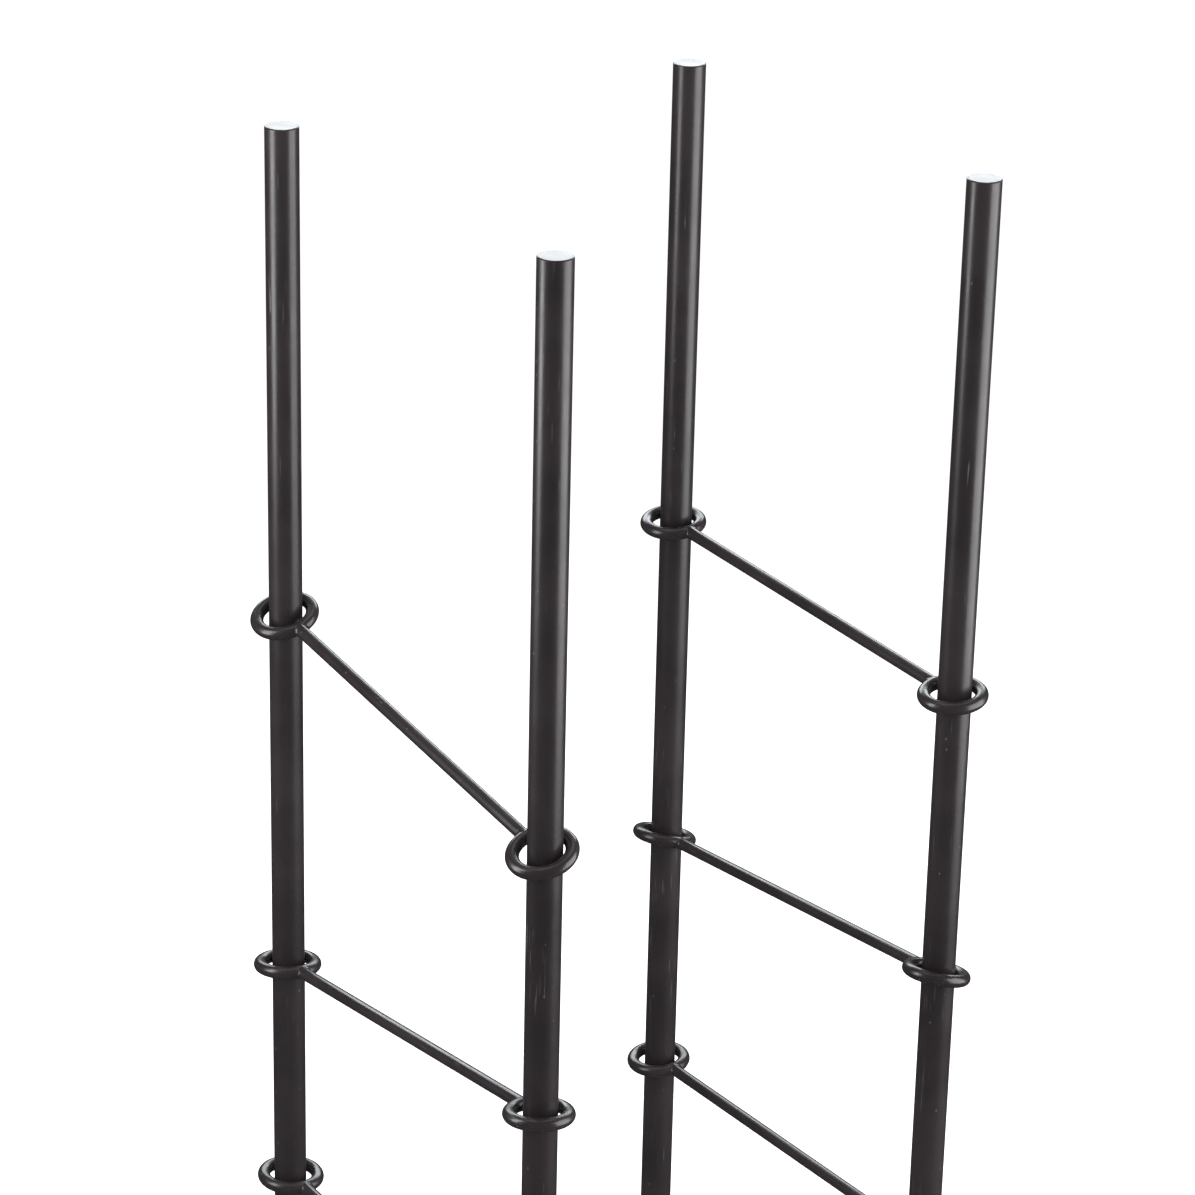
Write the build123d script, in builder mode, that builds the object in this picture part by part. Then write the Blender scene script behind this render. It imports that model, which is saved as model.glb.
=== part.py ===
"""Firewood log rack: four round posts on a lapped square base, with loose ties slid over the posts.

Millimetres. +Z is up, X runs along the stacked logs, and the front of the rack faces -Y.
The origin is on the floor, in the middle of the footprint.
"""

from build123d import *
import os

os.makedirs("parts", exist_ok=True)

# --- Driving dimensions -------------------------------------------------------------------
RACK_HEIGHT = 1016.0        # floor to the flat tops of the posts, 40 in
POST_DIAMETER = 19.0        # solid round bar, 3/4 in
POST_SPACING = 268.0        # centre to centre, the same both ways
ROD_DIAMETER = 7.3          # the ties' straight rods
RING_WIRE_DIAMETER = 7.5    # the wire of the rings on their ends
RING_INNER_DIAMETER = 24.5  # clear hole of a ring
BAR_WIDTH = 40.0            # flat bar of the base
BAR_THICKNESS = 10.0
FOOT_HEIGHT = 14.0

# --- Posts --------------------------------------------------------------------------------
POST_RADIUS = POST_DIAMETER / 2
HALF_SPACING = POST_SPACING / 2
POST_TOP_FILLET = 1.0
POST_FOOT_CHAMFER = 0.5
TAPPED_HOLE_RADIUS = 4.1
TAPPED_HOLE_DEPTH = 32.0

# --- Base ---------------------------------------------------------------------------------
BAR_LENGTH = POST_SPACING + BAR_WIDTH
LAP_DEPTH = BAR_THICKNESS / 2
LAP_LENGTH = BAR_WIDTH
BAR_EDGE_FILLET = 1.2
BASE_CORNER_RADIUS = BAR_WIDTH / 2  # in plan, about the posts' axes
BAR_HOLE_RADIUS = 4.5
BASE_BOTTOM = FOOT_HEIGHT
BASE_TOP = BASE_BOTTOM + BAR_THICKNESS
POST_LENGTH = RACK_HEIGHT - BASE_TOP

# --- Fasteners and feet -------------------------------------------------------------------
BOLT_RADIUS = 4.0
BOLT_LENGTH = 40.0
BOLT_HEAD_RADIUS = 6.5
BOLT_HEAD_HEIGHT = 8.0
BOLT_HEAD_CHAMFER = 0.6
BOLT_TIP_CHAMFER = 0.8
HEX_KEY_RADIUS = 3.4        # across corners, for a 6 mm key
HEX_KEY_DEPTH = 4.0
WASHER_OUTER_RADIUS = 9.0
WASHER_HOLE_RADIUS = 4.2
WASHER_THICKNESS = 1.6
FOOT_RADIUS = 17.0
FOOT_EDGE_FILLET = 2.5
FOOT_RIM_CHAMFER = 0.8
FOOT_SEAT_RADIUS = 9.1      # recess that the washer sits in
FOOT_POCKET_RADIUS = 6.6    # recess that grips the bolt head
FOOT_FLOOR = 3.6            # rubber left under the bolt head

# --- Ties ---------------------------------------------------------------------------------
ROD_RADIUS = ROD_DIAMETER / 2
RING_WIRE_RADIUS = RING_WIRE_DIAMETER / 2
RING_RADIUS = (RING_INNER_DIAMETER + RING_WIRE_DIAMETER) / 2
TIE_LENGTH = POST_SPACING + 1.0     # between the centres of its two rings
WELD_FILLET = 2.0                   # bead where a ring is welded on to the rod

# Each tie as it lies on the stack: side, height of its middle, rise towards the back in
# degrees, lean in degrees (positive drops its right side), and shift to the right of the posts.
TIES = {
    "tie_upper_left": (-1, 712.4, 8.2, -18.0, -1.2),
    "tie_upper_right": (1, 728.5, 2.6, -5.5, -1.6),
    "tie_middle_left": (-1, 525.5, -6.0, 4.2, -0.8),
    "tie_middle_right": (1, 539.6, -5.0, 15.0, -1.5),
    "tie_lower_left": (-1, 366.0, 1.5, 3.0, 0.6),
    "tie_lower_right": (1, 374.0, -1.0, -4.0, -0.6),
}

CORNERS = {
    "front_left": (-HALF_SPACING, -HALF_SPACING),
    "front_right": (HALF_SPACING, -HALF_SPACING),
    "back_left": (-HALF_SPACING, HALF_SPACING),
    "back_right": (HALF_SPACING, HALF_SPACING),
}


def save(part, name):
    """Labels a finished piece and writes it as its own STEP file."""
    part.label = name
    export_step(part, f"parts/{name}.step")


def corner_plane(corner, height):
    """The level plane at a corner's post axis, at a height above the floor."""
    x, y = CORNERS[corner]
    return Plane(origin=(x, y, height))


def make_post(corner):
    """A solid round bar with a flat top and a tapped blind hole in its lower end."""
    with BuildPart() as post:
        with BuildSketch(corner_plane(corner, BASE_TOP)):
            Circle(POST_RADIUS)
        extrude(amount=POST_LENGTH)
        fillet(post.edges().group_by(Axis.Z)[-1], POST_TOP_FILLET)
        chamfer(post.edges().group_by(Axis.Z)[0], POST_FOOT_CHAMFER)
        with BuildSketch(corner_plane(corner, BASE_TOP)):
            Circle(TAPPED_HOLE_RADIUS)
        extrude(amount=TAPPED_HOLE_DEPTH, mode=Mode.SUBTRACT)
    return post.part


def make_bar(middle, direction, lap_height):
    """A flat bar, halved at both ends where it laps the bars that cross it.

    middle is the centre of its underside, direction runs along it with the outside of the rack on
    its right, and lap_height is the height above the underside at which the halving starts.
    """
    bar_plane = Plane(origin=middle, x_dir=direction, z_dir=(0, 0, 1))
    lap_plane = bar_plane.offset(lap_height)
    with BuildPart() as bar:
        with BuildSketch(bar_plane) as outline:
            Rectangle(BAR_LENGTH, BAR_WIDTH)
            fillet(outline.vertices().group_by(Axis.Y)[0], BASE_CORNER_RADIUS)
        extrude(amount=BAR_THICKNESS)
        fillet(bar.edges().group_by(Axis.Z)[-1], BAR_EDGE_FILLET)
        fillet(bar.edges().group_by(Axis.Z)[0], BAR_EDGE_FILLET)
        with BuildSketch(lap_plane):
            with GridLocations(POST_SPACING, 0, 2, 1):
                Rectangle(LAP_LENGTH, BAR_WIDTH)
        extrude(amount=LAP_DEPTH, mode=Mode.SUBTRACT)
        with BuildSketch(bar_plane):
            with GridLocations(POST_SPACING, 0, 2, 1):
                Circle(BAR_HOLE_RADIUS)
        extrude(amount=BAR_THICKNESS, mode=Mode.SUBTRACT)
    return bar.part


def make_bolt(corner):
    """An M8 socket-head bolt, driven up through the base into the post's tapped hole."""
    under_head = BASE_BOTTOM - WASHER_THICKNESS
    head_bottom = under_head - BOLT_HEAD_HEIGHT
    with BuildPart() as bolt:
        with BuildSketch(corner_plane(corner, head_bottom)):
            Circle(BOLT_HEAD_RADIUS)
        extrude(amount=BOLT_HEAD_HEIGHT)
        chamfer(bolt.edges().group_by(Axis.Z)[0], BOLT_HEAD_CHAMFER)
        with BuildSketch(corner_plane(corner, under_head)):
            Circle(BOLT_RADIUS)
        extrude(amount=BOLT_LENGTH)
        chamfer(bolt.edges().group_by(Axis.Z)[-1], BOLT_TIP_CHAMFER)
        with BuildSketch(corner_plane(corner, head_bottom)):
            RegularPolygon(HEX_KEY_RADIUS, 6)
        extrude(amount=HEX_KEY_DEPTH, mode=Mode.SUBTRACT)
    return bolt.part


def make_washer(corner):
    """The plain washer under a bolt's head."""
    with BuildPart() as washer:
        with BuildSketch(corner_plane(corner, BASE_BOTTOM - WASHER_THICKNESS)):
            Circle(WASHER_OUTER_RADIUS)
            Circle(WASHER_HOLE_RADIUS, mode=Mode.SUBTRACT)
        extrude(amount=WASHER_THICKNESS)
    return washer.part


def make_foot(corner):
    """A rubber foot that presses over a bolt's head and hides it."""
    head_top = BASE_BOTTOM - WASHER_THICKNESS
    with BuildPart() as foot:
        with BuildSketch(corner_plane(corner, 0)):
            Circle(FOOT_RADIUS)
        extrude(amount=FOOT_HEIGHT)
        fillet(foot.edges().group_by(Axis.Z)[0], FOOT_EDGE_FILLET)
        chamfer(foot.edges().group_by(Axis.Z)[-1], FOOT_RIM_CHAMFER)
        with BuildSketch(corner_plane(corner, FOOT_FLOOR)):
            Circle(FOOT_POCKET_RADIUS)
        extrude(amount=head_top - FOOT_FLOOR, mode=Mode.SUBTRACT)
        with BuildSketch(corner_plane(corner, head_top)):
            Circle(FOOT_SEAT_RADIUS)
        extrude(amount=WASHER_THICKNESS, mode=Mode.SUBTRACT)
    return foot.part


def make_tie(side, height, rise, lean, shift):
    """A rod with a ring welded on each end, lying as placed by its side, height, rise and lean.

    The rod aims at the middle of each ring and ends inside the ring's wire.
    """
    middle = (side * HALF_SPACING + shift, 0, height)
    tie_plane = Plane(Location(middle, (rise, lean, 0)))
    ring_y = TIE_LENGTH / 2
    rod_end = ring_y - RING_RADIUS

    def square_to_rod(x, y):
        """The plane square to the rod, with its origin at x across the tie and y along it."""
        origin = tie_plane.from_local_coords((x, y, 0))
        return Plane(origin, x_dir=tie_plane.x_dir, z_dir=tie_plane.y_dir)

    with BuildPart() as tie:
        with BuildSketch(square_to_rod(0, -rod_end)):
            Circle(ROD_RADIUS)
        extrude(amount=2 * rod_end)
        for y in (-ring_y, ring_y):
            with BuildSketch(square_to_rod(RING_RADIUS, y)):
                Circle(RING_WIRE_RADIUS)
            revolve(axis=Axis(tie_plane.from_local_coords((0, y, 0)), tie_plane.z_dir))
        welds = tie.edges().filter_by(GeomType.BSPLINE)
        fillet(welds, WELD_FILLET)
    return tie.part


# --- Build and write every piece ------------------------------------------------------------
for corner in CORNERS:
    save(make_post(corner), f"post_{corner}")
    save(make_bolt(corner), f"bolt_{corner}")
    save(make_washer(corner), f"washer_{corner}")
    save(make_foot(corner), f"foot_{corner}")

for side, name in ((-1, "side_rail_left"), (1, "side_rail_right")):
    save(make_bar((side * HALF_SPACING, 0, BASE_BOTTOM), (0, side, 0), 0), name)

for side, name in ((-1, "cross_rail_front"), (1, "cross_rail_back")):
    save(make_bar((0, side * HALF_SPACING, BASE_BOTTOM), (-side, 0, 0), LAP_DEPTH), name)

for name, lie in TIES.items():
    save(make_tie(*lie), name)
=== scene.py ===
"""Looks for the firewood log rack: materials for its CAD pieces, a white studio and the camera."""

import math

import bpy
from mathutils import Matrix, Vector

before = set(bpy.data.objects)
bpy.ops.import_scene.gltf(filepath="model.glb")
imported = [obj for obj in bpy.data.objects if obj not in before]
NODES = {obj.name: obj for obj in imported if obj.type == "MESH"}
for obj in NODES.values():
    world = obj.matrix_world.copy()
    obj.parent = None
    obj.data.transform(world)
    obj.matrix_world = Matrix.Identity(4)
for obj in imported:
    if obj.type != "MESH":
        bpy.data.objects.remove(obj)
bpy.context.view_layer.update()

CORNERS = ("front_left", "front_right", "back_left", "back_right")
POSTS = [f"post_{corner}" for corner in CORNERS]
FASTENERS = [f"{kind}_{corner}" for kind in ("bolt", "washer") for corner in CORNERS]
FEET = [f"foot_{corner}" for corner in CORNERS]
RAILS = ["side_rail_left", "side_rail_right", "cross_rail_front", "cross_rail_back"]
TIES = sorted(name for name in NODES if name.startswith("tie_"))

MM = 0.001
MICRON = 1e-6


# --- Node helpers ---------------------------------------------------------------------------
# Bands of a noise's values that a ramp stretches to its whole output.
NARROW_BAND = (0.35, 0.65)
WIDE_BAND = (0.3, 0.7)


class Graph:
    """A material's node tree, with short calls for the nodes that the materials share."""

    def __init__(self, name):
        self.material = bpy.data.materials.new(name)
        self.material.use_nodes = True
        self.tree = self.material.node_tree
        self.shader = self.tree.nodes["Principled BSDF"]

    def node(self, kind, **settings):
        """A new node of that kind, with its settings."""
        made = self.tree.nodes.new(kind)
        for key, value in settings.items():
            setattr(made, key, value)
        return made

    def wire(self, source, target):
        """Links an output socket to an input socket."""
        self.tree.links.new(source, target)

    def place(self, stretch=(1, 1, 1)):
        """Points of the piece in metres, scaled by stretch along X, Y and Z."""
        coordinates = self.node("ShaderNodeTexCoord")
        mapping = self.node("ShaderNodeMapping")
        mapping.inputs["Scale"].default_value = stretch
        self.wire(coordinates.outputs["Object"], mapping.inputs["Vector"])
        return mapping.outputs["Vector"]

    def noise(self, size, detail=2.0, stretch=(1, 1, 1), roughness=0.5):
        """Noise whose features are about size metres across."""
        made = self.node("ShaderNodeTexNoise")
        made.inputs["Scale"].default_value = 1 / size
        made.inputs["Detail"].default_value = detail
        made.inputs["Roughness"].default_value = roughness
        self.wire(self.place(stretch), made.inputs["Vector"])
        return made.outputs["Fac"]

    def ramp(self, source, band, span=(0.0, 1.0)):
        """Source over the band, eased from the span's start to its end and held flat outside."""
        made = self.node("ShaderNodeMapRange", interpolation_type="SMOOTHSTEP")
        for key, value in zip(("From Min", "From Max", "To Min", "To Max"), (*band, *span)):
            made.inputs[key].default_value = value
        self.wire(source, made.inputs["Value"])
        return made.outputs["Result"]

    def math(self, operation, a, b):
        """The operation on a and b, each a number or a socket."""
        made = self.node("ShaderNodeMath", operation=operation)
        for socket, value in zip(made.inputs, (a, b)):
            if isinstance(value, (int, float)):
                socket.default_value = value
            else:
                self.wire(value, socket)
        return made.outputs["Value"]

    def mix(self, share, a, b):
        """Colour a blended to colour b by share."""
        made = self.node("ShaderNodeMix", data_type="RGBA")
        self.wire(share, made.inputs["Factor"])
        for key, value in (("A", a), ("B", b)):
            socket = [s for s in made.inputs if s.name == key and s.type == "RGBA"][0]
            if isinstance(value, tuple):
                socket.default_value = (*value, 1)
            else:
                self.wire(value, socket)
        return [s for s in made.outputs if s.type == "RGBA"][0]

    def bump(self, height, depth, below=None):
        """Relief of depth metres by height, over the relief below it."""
        made = self.node("ShaderNodeBump")
        made.inputs["Distance"].default_value = depth
        made.inputs["Strength"].default_value = 1.0
        self.wire(height, made.inputs["Height"])
        if below is not None:
            self.wire(below, made.inputs["Normal"])
        return made.outputs["Normal"]

    def put(self, **sockets):
        """Sets the shader's sockets by name: base_color=... sets "Base Color"."""
        for key, value in sockets.items():
            socket = self.shader.inputs[key.replace("_", " ").title().replace("Ior", "IOR")]
            if isinstance(value, (int, float)):
                socket.default_value = value
            else:
                self.wire(value, socket)


# --- Powder coat ----------------------------------------------------------------------------
COAT_DARK = (0.0145, 0.0115, 0.0125)
COAT_LIGHT = (0.0205, 0.0165, 0.0175)
COAT_TONE_SIZE = 55 * MM
COAT_SHEEN_SIZE = 22 * MM
COAT_IOR = 1.5
PEEL_SIZE = 2.3 * MM
PEEL_DEPTH = 40 * MICRON
GRAIN_SIZE = 0.35 * MM
GRAIN_DEPTH = 1.6 * MICRON

WEAR_COLOUR = (0.110, 0.104, 0.102)
WEAR_ROUGHENS = 0.12
HAIRLINE_SIZE = 1.1 * MM
HAIRLINE_BAND = (0.66, 0.74)
UPRIGHT = (1, 1, 0.035)         # hairlines drawn out along Z
FORE_AND_AFT = (1, 0.035, 1)    # and along Y
PATCH_SIZE = 38 * MM
PATCH_BAND = (0.50, 0.68)
FLECK_SPACING = 5.5 * MM
FLECK_STRETCH = (1, 1, 0.6)
FLECK_EDGE = (0.11, 0.06)       # in shares of the spacing
FLECK_RARITY = (0.74, 0.80)

DUST_COLOUR = (0.150, 0.135, 0.118)
DUST_SIZE = 5 * MM
DUST_BAND = (0.2, 0.9)
DUST_SHARE = (0.25, 1.0)
DUST_SLOPE = (0.6, 0.95)        # of the normal's Z, so that dust lies only on upward faces


def hairlines(g, run):
    """Fine scratches along the bar, in the worn patches where logs and rings have slid."""
    lines = g.ramp(g.noise(HAIRLINE_SIZE, detail=1.0, stretch=run), HAIRLINE_BAND)
    patches = g.ramp(g.noise(PATCH_SIZE, detail=3.0), PATCH_BAND)
    return g.math("MULTIPLY", lines, patches)


def flecks(g):
    """Small pale nibs and chips, one in a few of the cells."""
    cells = g.node("ShaderNodeTexVoronoi")
    cells.inputs["Scale"].default_value = 1 / FLECK_SPACING
    cells.inputs["Randomness"].default_value = 1.0
    g.wire(g.place(FLECK_STRETCH), cells.inputs["Vector"])
    cell_value = g.node("ShaderNodeSeparateColor")
    g.wire(cells.outputs["Color"], cell_value.inputs["Color"])
    dots = g.ramp(cells.outputs["Distance"], FLECK_EDGE)
    return g.math("MULTIPLY", dots, g.ramp(cell_value.outputs["Red"], FLECK_RARITY))


def settled_dust(g):
    """Dust that has drifted on to the faces that look up."""
    geometry = g.node("ShaderNodeNewGeometry")
    normal = g.node("ShaderNodeSeparateXYZ")
    g.wire(geometry.outputs["Normal"], normal.inputs["Vector"])
    drift = g.ramp(g.noise(DUST_SIZE, detail=8.0, roughness=0.7), DUST_BAND, DUST_SHARE)
    return g.math("MULTIPLY", g.ramp(normal.outputs["Z"], DUST_SLOPE), drift)


def powder_coat(name, scuffs, sheen, run=UPRIGHT, dust=0.0):
    """Satin graphite powder coat: orange peel, slow tone changes, hairline scuffs and flecks.

    scuffs and dust are how strongly they show, sheen is the least and most roughness, and run is
    the way that the hairlines are drawn out.
    """
    g = Graph(name)
    tone = g.ramp(g.noise(COAT_TONE_SIZE, detail=4.0), NARROW_BAND)
    colour = g.mix(tone, COAT_DARK, COAT_LIGHT)
    wear = g.math("MULTIPLY", g.math("MAXIMUM", hairlines(g, run), flecks(g)), scuffs)
    colour = g.mix(wear, colour, WEAR_COLOUR)
    if dust:
        colour = g.mix(g.math("MULTIPLY", settled_dust(g), dust), colour, DUST_COLOUR)

    polish = g.ramp(g.noise(COAT_SHEEN_SIZE, detail=3.0), WIDE_BAND, sheen)
    roughness = g.math("ADD", polish, g.math("MULTIPLY", wear, WEAR_ROUGHENS))
    peel = g.bump(g.noise(PEEL_SIZE, detail=2.0), PEEL_DEPTH)
    grain = g.bump(g.noise(GRAIN_SIZE, detail=1.0), GRAIN_DEPTH, peel)
    g.put(base_color=colour, roughness=roughness, normal=grain, metallic=0.0, ior=COAT_IOR)
    return g.material


# --- Zinc and rubber ------------------------------------------------------------------------
ZINC_DARK = (0.50, 0.50, 0.51)
ZINC_LIGHT = (0.63, 0.62, 0.60)
ZINC_CLOUD_SIZE = 6 * MM
ZINC_GRAIN_SIZE = 0.5 * MM
ZINC_GRAIN_STRETCH = (1, 1, 6)  # fine rings round an upright bolt
ZINC_GRAIN_DEPTH = 4 * MICRON
ZINC_ROUGHNESS = (0.26, 0.42)

RUBBER_DARK = (0.014, 0.014, 0.015)
RUBBER_LIGHT = (0.034, 0.032, 0.031)
RUBBER_CLOUD_SIZE = 9 * MM
RUBBER_CLOUD_BAND = (0.4, 0.8)
RUBBER_TOOTH_SIZE = 0.45 * MM
RUBBER_TOOTH_DEPTH = 22 * MICRON
RUBBER_SHEEN_SIZE = 5 * MM
RUBBER_ROUGHNESS = (0.62, 0.78)


def zinc():
    """Bright zinc plate with a faint machined grain."""
    g = Graph("zinc_plate")
    grain = g.noise(ZINC_GRAIN_SIZE, detail=2.0, stretch=ZINC_GRAIN_STRETCH)
    cloud = g.ramp(g.noise(ZINC_CLOUD_SIZE, detail=3.0), NARROW_BAND)
    g.put(base_color=g.mix(cloud, ZINC_DARK, ZINC_LIGHT), metallic=1.0)
    g.put(roughness=g.ramp(grain, WIDE_BAND, ZINC_ROUGHNESS))
    g.put(normal=g.bump(grain, ZINC_GRAIN_DEPTH))
    return g.material


def rubber():
    """Black moulded rubber, matt, with a fine tooth and faint pale clouds."""
    g = Graph("moulded_rubber")
    cloud = g.ramp(g.noise(RUBBER_CLOUD_SIZE, detail=5.0), RUBBER_CLOUD_BAND)
    tooth = g.bump(g.noise(RUBBER_TOOTH_SIZE, detail=2.0), RUBBER_TOOTH_DEPTH)
    g.put(base_color=g.mix(cloud, RUBBER_DARK, RUBBER_LIGHT), normal=tooth)
    g.put(roughness=g.ramp(g.noise(RUBBER_SHEEN_SIZE), WIDE_BAND, RUBBER_ROUGHNESS))
    return g.material


# --- Dressing the pieces --------------------------------------------------------------------
def dress(names, material):
    """Gives the named CAD nodes that material and no other."""
    for name in names:
        mesh = NODES[name].data
        mesh.materials.clear()
        mesh.materials.append(material)


dress(POSTS, powder_coat("post_coat", scuffs=0.55, sheen=(0.29, 0.36)))
dress(TIES, powder_coat("tie_coat", scuffs=0.45, sheen=(0.24, 0.31), run=FORE_AND_AFT))
dress(RAILS, powder_coat("base_coat", scuffs=0.5, sheen=(0.30, 0.38), dust=0.16))
dress(FASTENERS, zinc())
dress(FEET, rubber())


# --- Studio ---------------------------------------------------------------------------------
CAMERA_AZIMUTH = math.radians(-34.37)
CAMERA_ELEVATION = math.radians(22.17)
CAMERA_ROLL = math.radians(1.29)
CAMERA_DISTANCE = 2.280
CAMERA_TARGET = Vector((-0.009, 0.006, 0.7605))
CAMERA_CLIP = (0.05, 60.0)
LENS = 124.2
SENSOR = 36.0

FLOOR_REACH = 14.0
FLOOR_DARK = (0.94, 0.94, 0.94)
FLOOR_LIGHT = (0.96, 0.96, 0.96)
FLOOR_CLOUD_SIZE = 0.9
FLOOR_ROUGHNESS = 0.9

WHITE = (1, 1, 1)
COOL_WHITE = (0.91, 0.96, 1.0)

# Sockets of a float Mix node.
MIX_FACTOR = 0
MIX_A = 2
MIX_B = 3


def add_to_scene(name, data):
    """A new object of that data, linked into the scene."""
    made = bpy.data.objects.new(name, data)
    bpy.context.scene.collection.objects.link(made)
    return made


def heading(azimuth):
    """The level direction from the rack towards a camera at that azimuth."""
    return Vector((math.sin(azimuth), -math.cos(azimuth), 0))


def make_camera():
    """The camera, aimed at the upper part of the rack and rolled a little."""
    level_out = heading(CAMERA_AZIMUTH) * math.cos(CAMERA_ELEVATION)
    out = level_out + Vector((0, 0, math.sin(CAMERA_ELEVATION)))
    data = bpy.data.cameras.new("camera")
    data.lens = LENS
    data.sensor_width = SENSOR
    data.clip_start, data.clip_end = CAMERA_CLIP
    camera = add_to_scene("camera", data)
    stand = Matrix.Translation(CAMERA_TARGET + out * CAMERA_DISTANCE)
    aim = out.to_track_quat("Z", "Y").to_matrix().to_4x4()
    camera.matrix_world = stand @ aim @ Matrix.Rotation(CAMERA_ROLL, 4, "Z")
    bpy.context.scene.camera = camera


def make_floor():
    """A seamless pale floor that the coat doesn't mirror."""
    mesh = bpy.data.meshes.new("floor")
    r = FLOOR_REACH
    mesh.from_pydata([(-r, -r, 0), (r, -r, 0), (r, r, 0), (-r, r, 0)], [], [(0, 1, 2, 3)])
    floor = add_to_scene("floor", mesh)
    g = Graph("studio_floor")
    cloud = g.noise(FLOOR_CLOUD_SIZE, detail=2.0)
    g.put(base_color=g.mix(cloud, FLOOR_DARK, FLOOR_LIGHT), roughness=FLOOR_ROUGHNESS)
    g.put(specular_ior_level=0.0)
    mesh.materials.append(g.material)
    floor.visible_glossy = False


def make_softbox(name, location, width, depth, radiance, tint=WHITE):
    """A rectangular light of that radiance, which the camera doesn't see. It faces down."""
    data = bpy.data.lights.new(name, "AREA")
    data.shape = "RECTANGLE"
    data.size = width
    data.size_y = depth
    data.energy = radiance * math.pi * width * depth
    data.color = tint
    light = add_to_scene(name, data)
    light.location = location
    light.visible_camera = False
    return light


def make_panel(name, turn, distance, low, high, width, radiance, tint=WHITE):
    """An upright softbox from height low to high, facing the rack's axis.

    turn is its bearing in degrees from the camera's.
    """
    out = heading(CAMERA_AZIMUTH + math.radians(turn))
    location = out * distance + Vector((0, 0, (low + high) / 2))
    panel = make_softbox(name, location, width, high - low, radiance, tint)
    panel.rotation_euler = (-out).to_track_quat("-Z", "Y").to_euler()


def switch_strength(tree, rays, others, for_rays):
    """A strength of for_rays on the rays that are switched on, and others on the rest."""
    choose = tree.nodes.new("ShaderNodeMix")
    tree.links.new(rays, choose.inputs[MIX_FACTOR])
    if isinstance(others, float):
        choose.inputs[MIX_A].default_value = others
    else:
        tree.links.new(others, choose.inputs[MIX_A])
    choose.inputs[MIX_B].default_value = for_rays
    return choose.outputs[0]


def make_world(seen, ambient, mirrored):
    """White to the camera, softer as ambient light, and much darker in reflections."""
    world = bpy.data.worlds.new("studio")
    bpy.context.scene.world = world
    world.use_nodes = True
    tree = world.node_tree
    background = tree.nodes["Background"]
    background.inputs["Color"].default_value = (*WHITE, 1)
    rays = tree.nodes.new("ShaderNodeLightPath").outputs
    strength = switch_strength(tree, rays["Is Glossy Ray"], ambient, mirrored)
    strength = switch_strength(tree, rays["Is Camera Ray"], strength, seen)
    tree.links.new(strength, background.inputs["Strength"])


make_camera()
make_floor()
make_world(seen=1.15, ambient=1.08, mirrored=0.05)
make_panel("left_softbox", turn=-69.5, distance=0.80, low=0.62, high=1.45, width=0.31, radiance=9.0)
make_panel("right_softbox", turn=76, distance=1.30, low=0.20, high=1.60, width=1.25, radiance=5.2)
make_panel(
    "back_softbox", turn=180, distance=2.2, low=1.35, high=2.15, width=2.60, radiance=7.7, tint=COOL_WHITE
)
make_softbox("top_softbox", location=(0.2, 0.3, 2.6), width=2.0, depth=1.2, radiance=1.0)
bpy.context.scene.view_settings.view_transform = "Standard"
